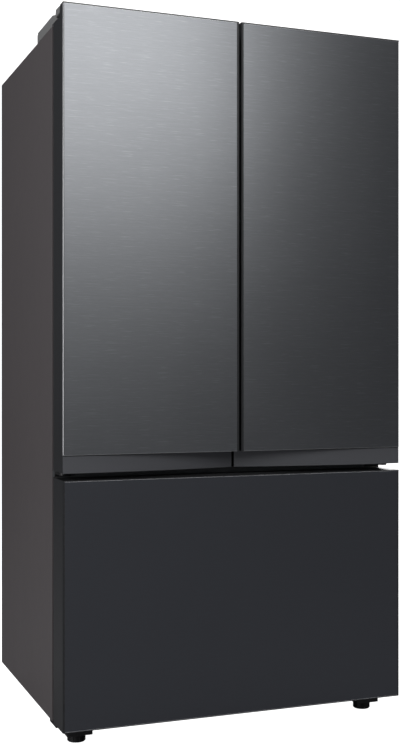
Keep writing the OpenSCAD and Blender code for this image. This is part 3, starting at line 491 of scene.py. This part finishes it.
edgeSettings = {"weld": 0.00001, "angle": 32.0, "segments": 2}
edgeRounds = {   # metres of rounding on each visible piece
    "outer_case": 0.0008, "hinge_covers": 0.0016, "left_door_frame": 0.0005, "right_door_frame": 0.0005,
    "freezer_frame": 0.001, "leg_brackets": 0.0008, "left_leveling_leg": 0.0012, "right_leveling_leg": 0.0012,
    "freezer_tray": 0.0008, "freezer_basket": 0.0008, "left_crisper": 0.0008, "right_crisper": 0.0008,
    "snack_drawer": 0.0008, "left_door_bins": 0.0008, "right_door_bins": 0.0008, "shelf_frames": 0.001,
    "left_door_liner": 0.002, "right_door_liner": 0.002, "flip_mullion": 0.001, "control_panel": 0.001,
    "centre_hinges": 0.0006, "freezer_door_liner": 0.0015, "dairy_lid": 0.0006, "air_tower": 0.001,
    "ice_maker": 0.0008, "ice_tray": 0.0008,
}


def softenEdges(node, width, s):
    obj = cadNodes[node]
    weld = obj.modifiers.new("weld", "WELD")
    weld.merge_threshold = s["weld"]
    bevel = obj.modifiers.new("edge", "BEVEL")
    bevel.width = width
    bevel.segments = s["segments"]
    bevel.limit_method = "ANGLE"
    bevel.angle_limit = math.radians(s["angle"])
    bevel.harden_normals = False
    smooth = obj.modifiers.new("normals", "WEIGHTED_NORMAL")
    smooth.keep_sharp = True


for node, width in edgeRounds.items():
    softenEdges(node, width, edgeSettings)
print("edges softened on", len(edgeRounds), "nodes")

studio = {
    "floorSize": 14.0,
    "floorShade": (0.26, 0.26, 0.27, 1.0),
    "contactReach": 0.05,      # metres around the feet that the contact shade covers
    "floorGlow": 1.3,          # how white the floor looks to the camera
    "floorContact": 0.25,      # strength of the contact shade under the feet
    "skyGlow": 1.3,
    "roomShade": (0.08, 0.082, 0.088, 1.0),
    "lights": {
        "keySoftbox": {
            "place": (0.34, -3.9, 3.25), "aim": (0.34, 0, 2.85),
            "wide": 2.4, "high": 2.5, "power": 50,
        },
        "leftSoftbox": {
            "place": (-3.2, -0.9, 1.35), "aim": (-0.45, -0.1, 0.95),
            "wide": 1.7, "high": 2.2, "power": 22,
        },
        "edgeStrip": {
            "place": (-3.0, -1.9, 1.6), "aim": (-0.45, -0.36, 1.0),
            "wide": 0.35, "high": 3.0, "power": 40,
        },
        "rightSoftbox": {
            "place": (3.4, 1.3, 1.7), "aim": (0.4, 0.1, 0.9),
            "wide": 1.8, "high": 2.2, "power": 45,
        },
        "backSoftbox": {
            "place": (2.6, 4.0, 2.1), "aim": (0, 0.3, 0.9),
            "wide": 1.6, "high": 2.2, "power": 70,
        },
        "topSoftbox": {
            "place": (-0.6, -0.6, 4.6), "aim": (0, 0, 1.0),
            "wide": 2.0, "high": 2.0, "power": 60,
        },
    },
}


def makeFloor(s):
    mesh = bpy.data.meshes.new("studioFloor")
    half = s["floorSize"]
    build = bmesh.new()
    corners = ((-half, -half, 0.0), (half, -half, 0.0), (half, half, 0.0), (-half, half, 0.0))
    build.faces.new([build.verts.new(corner) for corner in corners])
    build.to_mesh(mesh)
    build.free()
    floor = bpy.data.objects.new("studioFloor", mesh)
    bpy.context.scene.collection.objects.link(floor)
    mat = bpy.data.materials.new("studioFloor")
    mat.use_nodes = True
    tree = mat.node_tree
    shader = tree.nodes["Principled BSDF"]
    shader.inputs["Base Color"].default_value = s["floorShade"]
    shader.inputs["Roughness"].default_value = 0.8
    shader.inputs["Specular IOR Level"].default_value = 0.1
    shader.inputs["Emission Color"].default_value = (1, 1, 1, 1)
    ray = tree.nodes.new("ShaderNodeLightPath")
    near = addNode(tree, "ShaderNodeAmbientOcclusion", samples=6)
    near.inputs["Distance"].default_value = s["contactReach"]
    clearOfFeet = mapRange(tree, near.outputs["AO"], 0.0, 1.0, 1.0 - s["floorContact"], 1.0)
    seen = mathNode(tree, "MULTIPLY", ray.outputs["Is Camera Ray"], s["floorGlow"])
    glow = mathNode(tree, "MULTIPLY", seen, clearOfFeet)
    tree.links.new(glow, shader.inputs["Emission Strength"])
    mesh.materials.append(mat)


def makeLights(s):
    for name, light in s["lights"].items():
        data = bpy.data.lights.new(name, "AREA")
        data.shape = "RECTANGLE"
        data.size = light["wide"]
        data.size_y = light["high"]
        data.energy = light["power"]
        lamp = bpy.data.objects.new(name, data)
        lamp.location = light["place"]
        aim = Vector(light["aim"]) - Vector(light["place"])
        lamp.rotation_euler = aim.to_track_quat("-Z", "Y").to_euler()
        bpy.context.scene.collection.objects.link(lamp)


def makeWorld(s):
    world = bpy.data.worlds.new("studio")
    bpy.context.scene.world = world
    world.use_nodes = True
    tree = world.node_tree
    back = tree.nodes["Background"]
    ray = tree.nodes.new("ShaderNodeLightPath")
    shown = (s["skyGlow"], s["skyGlow"], s["skyGlow"], 1.0)
    tint = mixColor(tree, ray.outputs["Is Camera Ray"], s["roomShade"], shown)
    tree.links.new(tint, back.inputs["Color"])


makeFloor(studio)
makeLights(studio)
makeWorld(studio)
print("studio ready")
